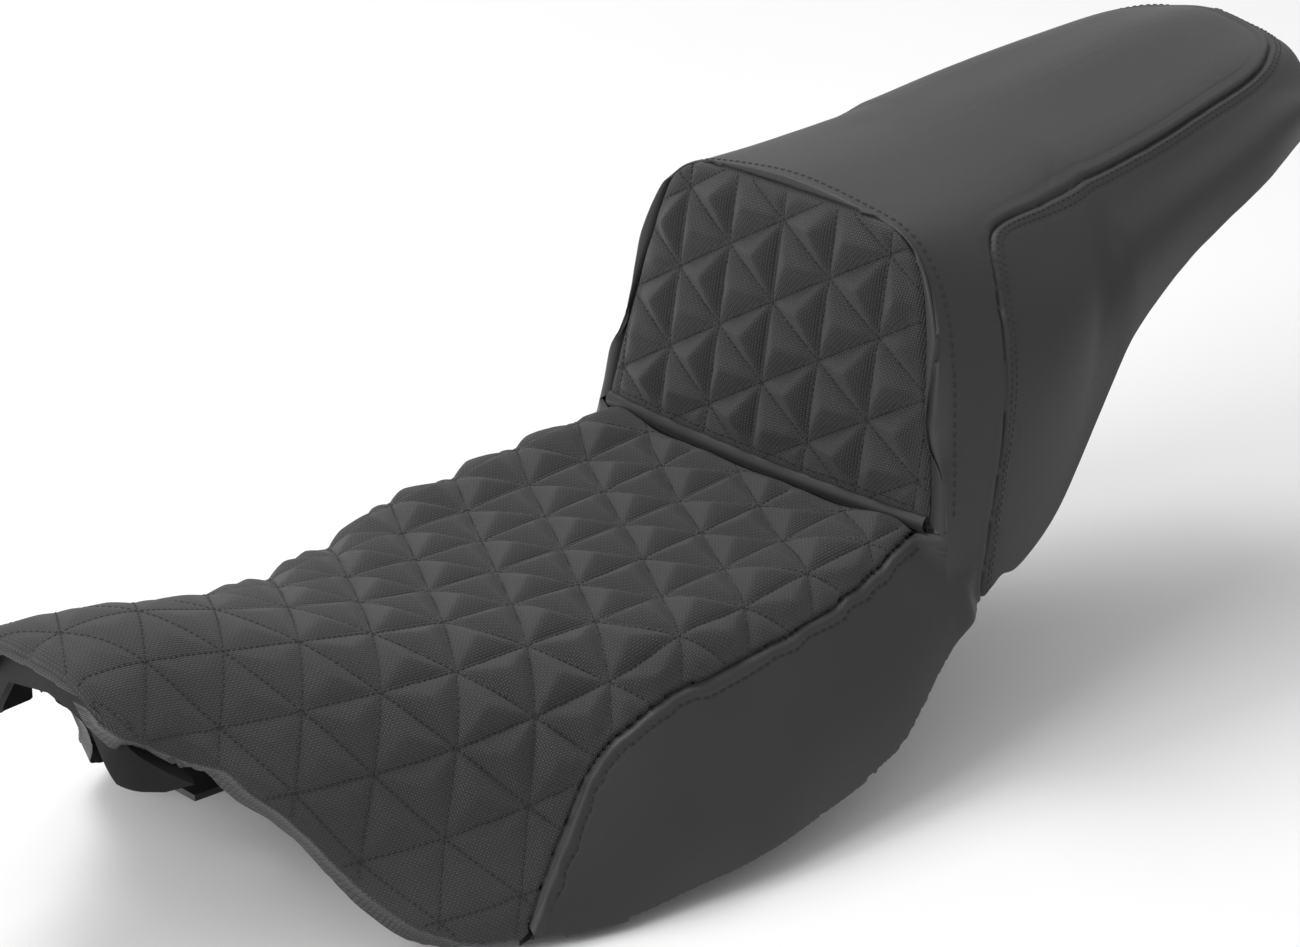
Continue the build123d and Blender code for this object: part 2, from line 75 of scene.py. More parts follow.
EDGE_FADE = 0.012            # padding grows over this distance from a seam
BORDER_FADE = 0.016          # the same at the backrest panel's border
SEAM_DEPTH = 0.0022          # groove at a panel's seam
SEAM_SPREAD = 0.0016         # its reach to either side
WELT_RISE = 0.0012           # raised fold beside a seam
BORDER_RISE = 0.0026         # folded edge round the backrest panel
HEM_RADIUS = 0.0026          # turn of the fabric round its hem
HEM_REACH = 0.010            # how far it then runs in under the pan
NOSE_ROUND = 0.008           # roll of the nose's front edge
NOSE_HALF = 0.055            # half-width of the nose's upright face
CORNER = (-0.413, -0.372)    # stations of the steep corner behind the nose
LEAN_IN = (-0.12, -0.005)    # stations between which the cross-sections take up the backrest's lean
LEAN_OUT = (0.09, 0.2)       # stations between which they lose it
LAST_S = -0.0012             # last outline of the seat panel, just ahead of the backrest
FIRST_S = 0.0024             # first outline of the smooth cover, just behind the backrest panel
TAIL_FAN_S = 0.235           # behind this the cross-sections fan out round the tail
SEAT_REACH = 0.205           # seat panel from its centre line to its seam, at most
BACK_REACH = 0.12            # the same on the backrest
SEAM_STITCH = 0.0076         # seat seam's stitch row, from the seam
BORDER_STITCH = 0.0062       # backrest border's stitch row, from the panel
PANEL_STITCHES = (0.0034, 0.0062)   # the side panel's double row, from its seam

# ---- fineness of the meshes, in metres ----
GRID = 0.0016
HALF = int(SEAT_REACH / GRID)                   # cells from the seat's centre line to its seam
BACK_COLUMNS = int(0.232 / GRID) // 2 * 2 + 1   # points across the backrest, with one on the centre
PROFILE_POINTS = int(0.29 / GRID)               # points down an outline of the passenger half
SIDE_POINTS = int(0.085 / GRID)                 # points from the seat seam down to the hem
TAIL_TURNS = int(0.15 / GRID)                   # outlines round half the tail
HEM_STEPS = 5                                   # points round the hem's turn
ROLL_POINTS = HEM_STEPS + 3                     # the hem, its turn and two points under the pan
COVER_PITCH = 1.15 * GRID                       # between outlines of the passenger half

COVERS = ["seat_quilt_cover", "backrest_quilt_cover", "main_cover", "side_panel_left", "side_panel_right"]
SEAT, BACK, MAIN, LEFT = range(4)               # places in COVERS

# The foot of the backrest on the centre plane is the origin of everything drawn here.
low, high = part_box("backrest_quilt_cover")
FOOT = Vector((0, low.y + PANEL_LEAD, low.z + PANEL_DROP))
nose_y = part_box("seat_quilt_cover")[0].y - FOOT.y
tail_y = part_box("side_panel_left")[1].y - FOOT.y
SHIFT = np.array(FOOT)


# ---------------------------------------------------------------- reading the CAD covers

def cover_tree():
    """All cover panels as one tree, with the panel each triangle belongs to."""
    points, faces, owner = [], [], []
    for index, name in enumerate(COVERS):
        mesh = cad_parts[name].data
        base = len(points)
        points += [v.co - FOOT for v in mesh.vertices]
        for polygon in mesh.polygons:
            faces.append([base + i for i in polygon.vertices])
            owner.append(index)
    return BVHTree.FromPolygons(points, faces), owner, np.array(points), faces


TREE, OWNER, COVER_POINTS, COVER_FACES = cover_tree()


def smooth(a, b, x):
    """Smooth step from 0 at a to 1 at b."""
    t = np.clip((x - a) / (b - a), 0, 1)
    return t * t * (3 - 2 * t)


def lean_at(s):
    """How far the cross-section plane at station s follows the backrest, 0 to 1."""
    return smooth(*LEAN_IN, s) * (1 - smooth(*LEAN_OUT, s))


def edge_points():
    """Cover vertices and the middle of one edge of each triangle, for finding the hem."""
    a = COVER_POINTS[[f[0] for f in COVER_FACES]]
    b = COVER_POINTS[[f[1] for f in COVER_FACES]]
    return np.concatenate([COVER_POINTS, (a + b) / 2])


EDGE_POINTS = edge_points()
HEM_WINDOW = 0.012           # points this near a section's plane count as in it
FAR = 0.5                    # further out than any cover
SWEEP = radians(115)         # an outline is read from straight up round to this angle
RAY_STEP = radians(0.6)
FALL_BACK = 0.007            # a ray that lands this much further in has missed the cover
MISSES = 4                   # more missed rays than this in a row, and the outline has ended


def hem_height(s):
    """Lowest point of the covers near the plane at station s."""
    lean = lean_at(s) * tan(LEAN)
    bow = BOW * lean_at(s)
    x, y, z = EDGE_POINTS.T
    near = np.abs(y - lean * z - bow * x ** 2 - s) < HEM_WINDOW
    return z[near].min()


def cast(s, angle, height, turn=0.0):
    """Outermost cover point seen along one ray of the cross-section at station s."""
    lean = lean_at(s) * tan(LEAN)
    bow = BOW * lean_at(s)
    x = 0.0
    hit = None
    for _ in range(3 if bow else 1):
        origin = Vector((0, s + bow * x * x + lean * height, height))
        across = cos(angle)
        ray = Vector((across * cos(turn), across * sin(turn) + lean * sin(angle), sin(angle)))
        ray.normalize()
        hit, _, face, _ = TREE.ray_cast(origin + ray * FAR, -ray, FAR)
        if hit is None:
            return None, -1
        x = hit.x
    return hit, OWNER[face]


def reach_of(hit, s, height, turn):
    """Distance of a cover point from the centre of its section, or -1 for no point."""
    if hit is None:
        return -1.0
    if turn:
        return (hit - Vector((0, s, height))).length
    return Vector((hit.x, 0, hit.z - height)).length


def profile(s, height, turn=0.0):
    """Cover outline from the top of the section to its hem, and the panel at each point."""
    points, panels = [], []
    reach = None
    missed = 0
    for i in range(int(SWEEP / RAY_STEP)):
        hit, panel = cast(s, pi / 2 - i * RAY_STEP, height, turn)
        distance = reach_of(hit, s, height, turn)
        if reach is not None and distance < reach - FALL_BACK:
            missed += 1
            if missed > MISSES:
                break
            continue
        missed = 0
        reach = distance
        points.append(tuple(hit))
        panels.append(panel)
    return np.array(points), np.array(panels)


def along(points):
    """Distance along a polyline at each of its points."""
    return np.concatenate([[0], np.cumsum(np.linalg.norm(np.diff(points, axis=0), axis=1))])


def resample(points, at):
    """Polyline points at the given distances along it."""
    run = along(points)
    return np.stack([np.interp(at, run, points[:, k]) for k in range(3)], axis=1)


def soften(grid, rounds):
    """Even out a grid of points, keeping its border."""
    g = grid.copy()
    for _ in range(rounds):
        inner = (g[:-2, 1:-1] + g[2:, 1:-1] + g[1:-1, :-2] + g[1:-1, 2:]) / 4
        g[1:-1, 1:-1] = 0.5 * g[1:-1, 1:-1] + 0.5 * inner
    return g


def running_mean(values, rounds):
    """Smooth a list of values, keeping its ends."""
    v = np.asarray(values, float)
    for _ in range(rounds):
        v[1:-1] = (v[:-2] + 2 * v[1:-1] + v[2:]) / 4
    return v


def roll_under(points):
    """Carry an outline round its hem, in a flattened turn, and a little way under the pan."""
    down = points[-1] - points[-4]
    down /= np.linalg.norm(down)
    x, y, _ = points[-1]
    inward = np.array([-x, min(TAIL_FAN_S - y, 0.0), 0.0])
    inward /= np.linalg.norm(inward)
    inward = inward - down * inward.dot(down)
    inward /= np.linalg.norm(inward)
    end = points[-1]
    extra = []
    for k in range(1, HEM_STEPS + 1):
        a = pi * k / HEM_STEPS
        extra.append(end + down * HEM_RADIUS * sin(a) * 0.35 + inward * HEM_RADIUS * (1 - cos(a)) * 0.5)
    for _ in range(2):
        extra.append(extra[-1] + inward * HEM_REACH * 0.5)
    return np.concatenate([points, extra])


# ---------------------------------------------------------------- surfaces as grids of points

def seat_rows():
    """Stations and outlines of the rider half, from the nose to the backrest."""
    stations = np.arange(nose_y + 0.0006, LAST_S, GRID)
    outlines, seam_at, full = [], [], []
    for s in stations:
        points, panels = profile(s, hem_height(s) - 0.001)
        run = along(points)
        outlines.append(points)
        full.append(run[-1])
        on_seat = np.nonzero(panels == SEAT)[0]
        seam_at.append(run[on_seat[-1]] + 0.0005)
    return fill_corner(stations, outlines, np.array(seam_at), np.array(full))


def fill_corner(stations, outlines, seam_at, full):
    """Carry the fabric down evenly round the nose corner, where the section turns steep."""
    usual = np.interp(stations, CORNER, np.interp(CORNER, stations, full))
    for k in np.nonzero((stations > CORNER[0]) & (stations < CORNER[1]) & (full < usual))[0]:
        points = outlines[k]
        down = points[-1] - points[-7]
        down = down / np.linalg.norm(down) + [0, 0, -0.5]
        down /= np.linalg.norm(down)
        outlines[k] = np.concatenate([points, [points[-1] + down * (usual[k] - full[k])]])
        full[k] = seam_at[k] = along(outlines[k])[-1]
    return stations, outlines, seam_at, full


def cell_puff(u, v, row, column, share=0.8):
    """Height, 0 to 1, of a padded cell at (u, v) between three families of stitch lines."""
    p = u / column
    q = v / row
    slant = 1 / np.hypot(1 / row, 0.5 / column)
    gaps = [np.abs(p - np.round(p)) * column,
            np.abs(q + p / 2 - np.round(q + p / 2)) * slant,
            np.abs(q - p / 2 - np.round(q - p / 2)) * slant]
    inner = column / 3
    a, b, c = [g / inner for g in gaps]
    sharp = 5.0
    soft = -np.log(np.exp(-sharp * a) + np.exp(-sharp * b) + np.exp(-sharp * c)) / sharp
    least = np.minimum(np.minimum(a, b), c)
    blend = np.clip(np.maximum(soft + np.log(3) / sharp * np.minimum(least, 1), 0), 0, 1)
    return np.clip(0.5 * (blend + least), 0, 1) ** share


def normals_of(grid):
    """Unit normals of a grid of points."""
    du = np.gradient(grid, axis=1)
    dv = np.gradient(grid, axis=0)
    n = np.cross(du, dv)
    return n / np.maximum(np.linalg.norm(n, axis=2, keepdims=True), 1e-12)


def place(grid, height):
    """Grid moved along its normals by a height at every point."""
    return grid + normals_of(grid) * height[..., None]


def add_mesh(name, verts, faces):
    """New object with a mesh of the given points and faces."""
    mesh = bpy.data.meshes.new(name)
    mesh.from_pydata(verts, [], faces)
    obj = bpy.data.objects.new(name, mesh)
    bpy.context.scene.collection.objects.link(obj)
    return obj


def piece(name, grids, slot, replaces, uv, keep=None):
    """One mesh piece from grids of points and their flat coordinates, joined where borders meet."""
    keep = keep or {}
    verts, faces, maps = [], [], []
    for k, grid in enumerate(grids):
        rows, columns = grid.shape[:2]
        base = len(verts)
        verts += [tuple(p) for p in (grid.reshape(-1, 3) + SHIFT)]
        index = np.arange(rows * columns).reshape(rows, columns) + base
        quads = np.stack([index[:-1, :-1], index[:-1, 1:], index[1:, 1:], index[1:, :-1]], axis=-1)
        quads = quads[keep[k]] if k in keep else quads.reshape(-1, 4)
        faces += [tuple(int(i) for i in q) for q in quads]
        maps += [tuple(p) for p in uv[k].reshape(-1, 2)]
    obj = add_mesh(name, verts, faces)
    mesh = obj.data
    layer = mesh.uv_layers.new(name="UVMap")
    loops = np.zeros(len(mesh.loops), int)
    mesh.loops.foreach_get("vertex_index", loops)
    layer.data.foreach_set("uv", np.array(maps)[loops].ravel())
    weld = obj.modifiers.new("weld", "WELD")
    weld.merge_threshold = 0.00015
    bpy.context.view_layer.objects.active = obj
    bpy.ops.object.modifier_apply(modifier="weld")
    mesh.polygons.foreach_set("use_smooth", [True] * len(mesh.polygons))
    finish_piece(obj, slot, replaces)


def finish_piece(obj, slot, replaces):
    """Fix a piece to the seat and give it its finish."""
    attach(obj, "root")
    if replaces:
        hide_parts(*replaces)
    obj.data.materials.clear()
    obj.data.materials.append(FINISHES[slot])


def mirror(grid):
    """The same grid on the other side of the centre plane, turned so it still faces out."""
    return (grid * np.array([-1, 1, 1]))[:, ::-1]


# ---------------------------------------------------------------- finishes

class Nodes:
    """A short way to write a material's nodes."""

    def __init__(self, name):
        self.material = bpy.data.materials.new(name)
        self.material.use_nodes = True
        self.tree = self.material.node_tree
        self.shader = self.tree.nodes["Principled BSDF"]

    def add(self, kind, *inputs, **options):
        node = self.tree.nodes.new(kind)
        for key, value in options.items():
            setattr(node, key, value)
        for index, value in enumerate(inputs):
            self.put(node.inputs[index], value)
        return node

    def put(self, socket, value):
        if isinstance(value, bpy.types.NodeSocket):
            self.tree.links.new(value, socket)
        else:
            socket.default_value = value

    def math(self, operation, a, b=0.0):
        return self.add("ShaderNodeMath", a, b, operation=operation).outputs[0]

    def noise(self, vector, scale, detail=3.0, rough=0.5):
        node = self.add("ShaderNodeTexNoise")
        self.put(node.inputs["Vector"], vector)
        self.put(node.inputs["Scale"], scale)
        self.put(node.inputs["Detail"], detail)
        self.put(node.inputs["Roughness"], rough)
        return node.outputs["Fac"]

    def object_place(self):
        return self.add("ShaderNodeTexCoord").outputs["Object"]

    def ramp(self, value, low, high, from_low=0.0, from_high=1.0):
        return self.add("ShaderNodeMapRange", value, from_low, from_high, low, high).outputs[0]

    def tint(self, factor, dark, light):
        node = self.add("ShaderNodeMix", data_type="RGBA")
        self.put(node.inputs[0], factor)
        self.put(node.inputs[6], (*dark, 1))
        self.put(node.inputs[7], (*light, 1))
        return node.outputs[2]

    def bump(self, height, distance, strength=1.0):
        node = self.add("ShaderNodeBump")
        self.put(node.inputs["Strength"], strength)
        self.put(node.inputs["Distance"], distance)
        self.put(node.inputs["Height"], height)
        self.put(self.shader.inputs["Normal"], node.outputs[0])

    def set(self, **values):
        for key, value in values.items():
            self.put(self.shader.inputs[key.replace("_", " ")], value)


def woven_vinyl():
    """Coarse basket-weave vinyl: raised threads that pass over and under, a little uneven, with painted light
    and shade of the weave in its colour.
    """
    n = Nodes("woven_vinyl")
    uv = n.add("ShaderNodeUVMap").outputs[0]
    split = n.add("ShaderNodeSeparateXYZ", uv)
    pitch = 0.00115
    across = n.math("MULTIPLY", split.outputs[0], pi / pitch)
    length = n.math("MULTIPLY", split.outputs[1], pi / pitch)
    both = n.math("MULTIPLY", n.math("SINE", across), n.math("SINE", length))
    over = n.math("POWER", n.math("MAXIMUM", both, 0.0), 0.6)
    low_side = n.math("MAXIMUM", n.math("MULTIPLY", both, -1.0), 0.0)
    under = n.math("MULTIPLY", n.math("POWER", low_side, 0.6), 0.55)
    threads = n.math("ADD", over, under)
    where = n.object_place()
    uneven = n.noise(where, 160.0)
    wear = n.noise(where, 9.0, 4.0)
    n.bump(n.math("MULTIPLY", threads, n.ramp(uneven, 0.75, 1.15)), 0.0005)
    # The colour follows the thread relief: lighter on the raised threads, darker on the under-threads and
    # darkest in the gaps. This is painted light and shade of the weave. The broad wear noise adds real uneven
    # wear on top.
    tone = n.math("ADD", n.math("MULTIPLY", threads, 0.72), n.ramp(wear, -0.12, 0.22))
    n.set(Base_Color=n.tint(tone, (0.006, 0.006, 0.0062), (0.046, 0.046, 0.047)),
          Roughness=n.ramp(threads, 0.72, 0.5),
          Specular_IOR_Level=0.42, Sheen_Weight=0.12, Sheen_Roughness=0.5)
    return n.material


def smooth_vinyl():
    """Fine-grained vinyl with soft sheen."""
    n = Nodes("smooth_vinyl")
    where = n.object_place()
    cells = n.add("ShaderNodeTexVoronoi", feature="DISTANCE_TO_EDGE")
    n.put(cells.inputs["Vector"], where)
    n.put(cells.inputs["Scale"], 950.0)
    grain = n.math("MINIMUM", n.math("MULTIPLY", cells.outputs["Distance"], 4.0), 1.0)
    fine = n.noise(where, 2400.0, 2.0)
    broad = n.noise(where, 7.0, 3.0)
    n.bump(n.math("ADD", grain, n.math("MULTIPLY", fine, 0.4)), 0.00006, 0.55)
    tone = n.ramp(broad, 0.0, 1.0, 0.3, 0.7)
    n.set(Base_Color=n.tint(tone, (0.0185, 0.0185, 0.0188), (0.0225, 0.0225, 0.0228)),
          Roughness=n.ramp(n.math("ADD", grain, broad), 0.56, 0.47, 0.4, 1.6),
          Specular_IOR_Level=0.45, Sheen_Weight=0.08, Sheen_Roughness=0.4)
    return n.material


def thread():
    """Twisted bonded thread, nearly black."""
    n = Nodes("thread")
    where = n.object_place()
    twist = n.noise(where, 1800.0, 2.0)
    n.bump(twist, 0.00008)
    n.set(Base_Color=n.tint(twist, (0.004, 0.004, 0.004), (0.012, 0.012, 0.0125)), Roughness=0.6)
    return n.material


def moulded(name, dark, light, rough, grain, depth):
    """Moulded plastic or rubber with a fine spark texture and light scuffs."""
    n = Nodes(name)
    where = n.object_place()
    fine = n.noise(where, grain, 3.0, 0.6)
    scuff = n.noise(where, 28.0, 5.0, 0.65)
    n.bump(fine, depth, 0.8)
    n.set(Base_Color=n.tint(n.ramp(scuff, 0.0, 1.0, 0.35, 0.75), dark, light),
          Roughness=n.ramp(scuff, rough + 0.08, rough - 0.06), Specular_IOR_Level=0.22)
    return n.material


def steel(name, dark, light, rough, metal):
    """Metal with a brushed or powder-coated surface."""
    n = Nodes(name)
    where = n.object_place()
    fine = n.noise(where, 900.0, 4.0, 0.7)
    stain = n.noise(where, 45.0, 4.0)
    n.bump(fine, 0.00005, 0.5)
    n.set(Base_Color=n.tint(n.ramp(stain, 0.0, 1.0, 0.3, 0.7), dark, light), Metallic=metal,
          Roughness=n.ramp(fine, rough - 0.06, rough + 0.1))
    return n.material


def cellular(name, dark, light, cell, depth):
    """Open-cell foam, felt or gel skin, with painted shade in its pores."""
    n = Nodes(name)
    where = n.object_place()
    cells = n.add("ShaderNodeTexVoronoi")
    n.put(cells.inputs["Vector"], where)
    n.put(cells.inputs["Scale"], cell)
    broad = n.noise(where, 20.0)
    n.bump(cells.outputs["Distance"], depth)
    # The colour is darkest at the bottom of each pit the bump sinks: painted shade in the pores, varied at
    # random by broad noise.
    tone = n.math("MULTIPLY", cells.outputs["Distance"], n.ramp(broad, 0.7, 1.3))
    n.set(Base_Color=n.tint(tone, dark, light), Roughness=0.92)
    return n.material


FINISHES = {
    "quilted_vinyl": woven_vinyl(),
    "smooth_vinyl": smooth_vinyl(),
    "thread": thread(),
    "pan_plastic": moulded("pan_plastic", (0.0045, 0.0045, 0.005), (0.009, 0.009, 0.0095),
                           rough=0.55, grain=1400.0, depth=0.00012),
    "bumper_rubber": moulded("bumper_rubber", (0.012, 0.012, 0.012), (0.024, 0.024, 0.024),
                             rough=0.75, grain=900.0, depth=0.0001),
    "bracket_steel": steel("bracket_steel", (0.011, 0.011, 0.012), (0.02, 0.02, 0.021),
                           rough=0.42, metal=0.2),
    "fastener_steel": steel("fastener_steel", (0.36, 0.36, 0.37), (0.6, 0.6, 0.61),
                            rough=0.32, metal=1.0),
    "felt": cellular("felt", (0.012, 0.012, 0.013), (0.05, 0.05, 0.052),
                     cell=1500.0, depth=0.0004),
    "seat_foam": cellular("seat_foam", (0.30, 0.28, 0.23), (0.5, 0.47, 0.40),
                          cell=700.0, depth=0.0005),
    "gel": moulded("gel", (0.05, 0.16, 0.26), (0.09, 0.24, 0.34),
                   rough=0.35, grain=500.0, depth=0.0001),
}


# ---------------------------------------------------------------- the quilted seat panel

stations, outlines, seat_seam, seat_hem = seat_rows()
nose_rows = seat_hem - seat_seam < 0.004      # here the panel reaches down to the hem
seat_seam = running_mean(np.where(nose_rows, seat_hem, seat_seam), 3)
share = np.linspace(0, 1, HALF + 1)


def seat_grid():
    """Points of the quilted seat panel before padding, with distance from the centre at each."""
    rows, spread = [], []
    for outline, width in zip(outlines, seat_seam):
        right = resample(outline, share * width)
        rows.append(np.concatenate([(right * [-1, 1, 1])[:0:-1], right]))
        spread.append(np.concatenate([-(share * width)[:0:-1], share * width]))
    grid = np.array(rows)
    return soften(grid, 10), np.array(spread)


seat_base, seat_u = seat_grid()
seat_v = np.repeat((SEAT_ROW_START - stations)[:, None], seat_u.shape[1], axis=1)


def seat_height():
    """Padding and seams of the seat panel: full in the middle, thin at the nose and on the skirts."""
    puff = cell_puff(seat_u, seat_v, SEAT_ROW, STITCH_LINE_X)
    s = np.repeat(stations[:, None], seat_u.shape[1], axis=1)
    full = THIN_NOSE + (1 - THIN_NOSE) * smooth(*NOSE_FADE, s)
    full = full * (1 - SKIRT_LOSS * smooth(*SKIRT_FADE, np.abs(seat_u)))
    edge = np.minimum(np.abs(np.abs(seat_u) - seat_seam[:, None]), -s - 0.001)
    full = full * smooth(0.0, EDGE_FADE, edge)
    groove = np.where(nose_rows[:, None], 0, SEAM_DEPTH * np.exp(-(edge / SEAM_SPREAD) ** 2))
    return PUFF_SEAT * full * (puff - 0.25) - groove


def nose_roll(grid):
    """Round the front edge of the nose over, leaving its upright walls alone."""
    t = np.clip((nose_y + NOSE_ROUND - stations[:, None]) / NOSE_ROUND, 0, 0.999)
    drop = NOSE_ROUND * (1 - np.sqrt(1 - t ** 2))
    out = grid.copy()
    out[..., 2] -= drop * np.clip(normals_of(grid)[..., 2] * 1.6 - 0.3, 0, 1)
    return out


seat_base = nose_roll(seat_base)
seat_skin = place(seat_base, seat_height())


def nose_front():
    """The panel's upright face at the nose, read from the front, down to the hem."""
    columns = []
    for x in np.linspace(-NOSE_HALF, NOSE_HALF, 2 * int(NOSE_HALF / GRID) + 1):
        hits = []
        for z in np.arange(-0.075, 0.0, 0.0008):
            hit, _, face, _ = TREE.ray_cast(Vector((x, -FAR, z)), Vector((0, 1, 0)), 0.2)
            if hit is not None and OWNER[face] == SEAT:
                hits.append(tuple(hit))
        front = min(h[1] for h in hits)
        first = np.array([h for h in hits if h[1] < front + 0.006])
        column = resample(first, np.linspace(0, along(first)[-1], 18))
        rise = np.clip(column[:, 2] - column[-1, 2] + NOSE_ROUND, 0, NOSE_ROUND * 0.999)
        column[:, 1] += NOSE_ROUND - np.sqrt(NOSE_ROUND ** 2 - rise ** 2)
        columns.append(column)
    face = soften(np.array(columns), 3).transpose(1, 0, 2)
    inside = face[0] + [0, 0.005, 0.0005]
    return np.array([inside, *face]) + [0, 0.0004, 0]


def skirt_roll(grid):
    """Side edges of the panel ahead of the seam, rolled round the hem."""
    rows = [roll_under(row) for row, nose in zip(grid, nose_rows) if nose]
    return np.array(rows)[:, -ROLL_POINTS:]


roll = skirt_roll(seat_skin[:, HALF:])
apron = nose_front()
seat_uv = np.stack([seat_u, seat_v], axis=-1)
apron_uv = apron[..., [0, 2]]
roll_uv = roll[..., 1:3]
piece("seat_quilt", [seat_skin, apron, roll, mirror(roll)], "quilted_vinyl",
      ["seat_quilt_cover", "seat_quilt_foam"], [seat_uv, apron_uv, roll_uv, roll_uv[:, ::-1]])


# ---------------------------------------------------------------- the smooth cover behind and beside it

TAIL_HEIGHT = EDGE_POINTS[EDGE_POINTS[:, 1] > tail_y - 0.02, 2].min() + 0.002
SHORTFALL = 0.012            # an outline this much shorter than its neighbours was read in a gap


def passenger_columns():
    """Outlines of the passenger half from the backrest to the tail, on the seat's left."""
    columns, lengths = [], []
    straight = [(s, 0.0) for s in np.arange(FIRST_S, TAIL_FAN_S, COVER_PITCH)]
    turns = [(TAIL_FAN_S, t) for t in np.linspace(0, pi / 2, TAIL_TURNS)]
    for s, turn in straight + turns:
        height = hem_height(s) - 0.001 if s < TAIL_FAN_S else TAIL_HEIGHT
        points, _ = profile(s, height, turn)
        lengths.append(along(points)[-1])
        columns.append(resample(points, np.linspace(0, lengths[-1], PROFILE_POINTS)))
    usual = np.array([np.max(lengths[max(k - 6, 0):k + 7]) for k in range(len(lengths))])
    return bridge(np.array(columns), np.array(lengths) > usual - SHORTFALL)


def bridge(columns, sound):
    """Outlines read inside a seam's gap replaced by ones between their sound neighbours."""
    good = np.nonzero(sound)[0]
    out = columns.copy()
    for k in np.nonzero(~sound)[0]:
        after = np.searchsorted(good, k)
        a, b = good[max(after - 1, 0)], good[min(after, len(good) - 1)]
        w = (k - a) / (b - a) if b > a else 0.0
        out[k] = columns[a] * (1 - w) + columns[b] * w
    return out


def even_borders(grid):
    """Even out the first outline and the hem, and put the last outline on the centre plane."""
    for axis in range(3):
        grid[0, :, axis] = running_mean(grid[0, :, axis], 12)
        grid[:, -1, axis] = running_mean(grid[:, -1, axis], 10)
    grid[-1, :, 0] = 0
    return grid


passenger = soften(even_borders(passenger_columns()), 14)


def panel_tree(index):
    """One cover panel as a tree of its own."""
    keep = [f for f, owner in zip(COVER_FACES, OWNER) if owner == index]
    return BVHTree.FromPolygons([Vector(p) for p in COVER_POINTS], keep)


def distances(tree, grid):
    """Distance from every point of a grid to a panel."""
    flat = [tree.find_nearest(Vector(p))[3] for p in grid.reshape(-1, 3)]
    return np.array(flat).reshape(grid.shape[:2])


def seam_side(grid):
    """Signed distance to the side panel's seam: positive on the side panel."""
    return distances(panel_tree(MAIN), grid) - distances(panel_tree(LEFT), grid)


def slopes(grid, value):
    """Change of a value per metre along the two directions of a grid."""
    return [np.gradient(value, axis=k) / np.linalg.norm(np.gradient(grid, axis=k), axis=2) for k in (0, 1)]


def snap_to_seam(grid, value):
    """Move the points nearest the seam onto it, so that the two panels part cleanly."""
    slope_u, slope_v = slopes(grid, value)
    du = np.gradient(grid, axis=0)
    dv = np.gradient(grid, axis=1)
    step_u = np.linalg.norm(du, axis=2, keepdims=True)
    step_v = np.linalg.norm(dv, axis=2, keepdims=True)
    room = 0.5 * (np.abs(slope_u) * step_u[..., 0] + np.abs(slope_v) * step_v[..., 0])
    near = np.abs(value) < np.minimum(room, 0.5 * GRID)
    near[0] = near[-1] = False
    slope = slope_u[..., None] * (du / step_u) + slope_v[..., None] * (dv / step_v)
    length = np.maximum(np.linalg.norm(slope, axis=2), 0.3)
    move = -(value / length ** 2)[..., None] * slope
    far = np.linalg.norm(move, axis=2, keepdims=True)
    move *= np.minimum(1, 0.5 * np.minimum(step_u, step_v) / np.maximum(far, 1e-9))
    out = grid.copy()
    out[near] += move[near]
    new_value = np.where(near, 0, value)
    return out, new_value / np.maximum(np.hypot(slope_u, slope_v), 0.35)


side_of = soften(seam_side(passenger)[..., None], int(0.075 / GRID))[..., 0] + 0.0006
passenger, side_of = snap_to_seam(passenger, side_of)


def welt(distance, centre=0.0042, width=0.0022):
    """Raised fold beside a seam, with a shallow dip along its stitching."""
    fold = WELT_RISE * np.exp(-((distance - centre) / width) ** 2)
    return fold - 0.0005 * np.exp(-((distance - 0.0078) / 0.0007) ** 2)


def seam_profile(distance):
    """Groove at a seam, with the fold beside it."""
    groove = -0.75 * SEAM_DEPTH * np.exp(-(distance / 0.0013) ** 2)
    return groove + welt(distance)


panel_gap = np.abs(side_of)
passenger_skin = place(passenger, 0.4 * welt(panel_gap, centre=0.0032, width=0.0018)
                       - 0.0017 * np.exp(-(panel_gap / 0.0011) ** 2))


def hem_roll(grid):
    """Roll round the hem at the end of every outline of a grid."""
    return np.array([roll_under(row)[-ROLL_POINTS:] for row in grid])


def even_uv(grid):
    """Flat coordinates of a grid of points, in metres from its first corner."""
    across = np.linalg.norm(np.gradient(grid, axis=1), axis=2)
    down = np.linalg.norm(np.gradient(grid, axis=0), axis=2)
    return np.stack([np.cumsum(across, axis=1), np.cumsum(down, axis=0)], axis=-1)


def face_mask(value):
    """True for the faces of a grid whose corners are above zero on the whole."""
    return (value[:-1, :-1] + value[:-1, 1:] + value[1:, 1:] + value[1:, :-1]) > 0


on_side = face_mask(side_of)
side_roll = hem_roll(passenger_skin)
roll_value = np.repeat(side_of[:, -1:], side_roll.shape[1], axis=1)
roll_on_side = face_mask(roll_value)


def both_sides(name_left, name_right, grids, slot, keep, replaces):
    """A piece on the seat's left and its mirror image on the right."""
    maps = [even_uv(g) for g in grids]
    piece(name_left, grids, slot, replaces[0], maps, keep)
    flipped = {k: mask[:, ::-1] for k, mask in keep.items()}
    piece(name_right, [mirror(g) for g in grids], slot, replaces[1], [m[:, ::-1] for m in maps], flipped)


both_sides("side_panel_skin_left", "side_panel_skin_right", [passenger_skin, side_roll], "smooth_vinyl",
           {0: on_side, 1: roll_on_side}, (["side_panel_left"], ["side_panel_right"]))


# ---- rider's side of the main cover, from the seat seam down to the hem ----

side_rows = np.nonzero(~nose_rows)[0]


